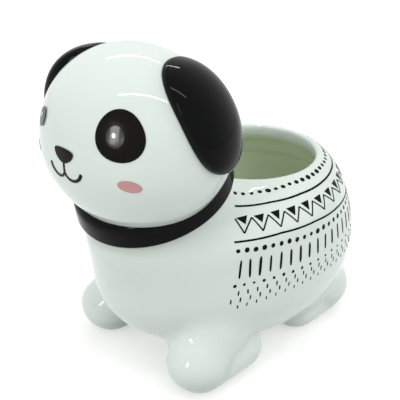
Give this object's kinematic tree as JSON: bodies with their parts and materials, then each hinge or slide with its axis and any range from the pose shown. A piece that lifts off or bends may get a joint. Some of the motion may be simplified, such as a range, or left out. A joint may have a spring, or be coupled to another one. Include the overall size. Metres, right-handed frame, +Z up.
{
  "type": "dog planter",
  "caption": "Glazed ceramic puppy planter: an open pot in the back, a round head with drooping ears, a collar band and a drain stopper.",
  "frame": {"origin": "on the ground, in the middle of the planter's bounding box", "axes": "+Z up, -Y the way the puppy looks, +X the puppy's left"},
  "size_m": [0.098, 0.1488, 0.1412],
  "materials": {
    "white_glaze": "gloss",
    "black_glaze": "gloss",
    "black_enamel": "gloss",
    "pink_enamel": "satin",
    "rubber": "matte"
  },
  "bodies": {
    "planter": {"pot_body": "white_glaze", "head": "white_glaze", "collar": "black_glaze", "ear_left": "black_glaze", "ear_right": "black_glaze", "front_paw_left": "white_glaze", "front_paw_right": "white_glaze", "rear_paw_left": "white_glaze", "rear_paw_right": "white_glaze", "eye_patch": "black_enamel", "eye_left": "black_enamel", "eye_right": "black_enamel", "nose": "black_enamel", "mouth": "black_enamel", "cheek_left": "pink_enamel", "cheek_right": "pink_enamel"},
    "stopper": {"drain_plug": "rubber"}
  },
  "joints": [
    {"name": "stopper_pull", "type": "slide", "parent": "planter", "child": "stopper", "axis": [0, 0, 1], "range_m": [0, 0.085]}
  ]
}
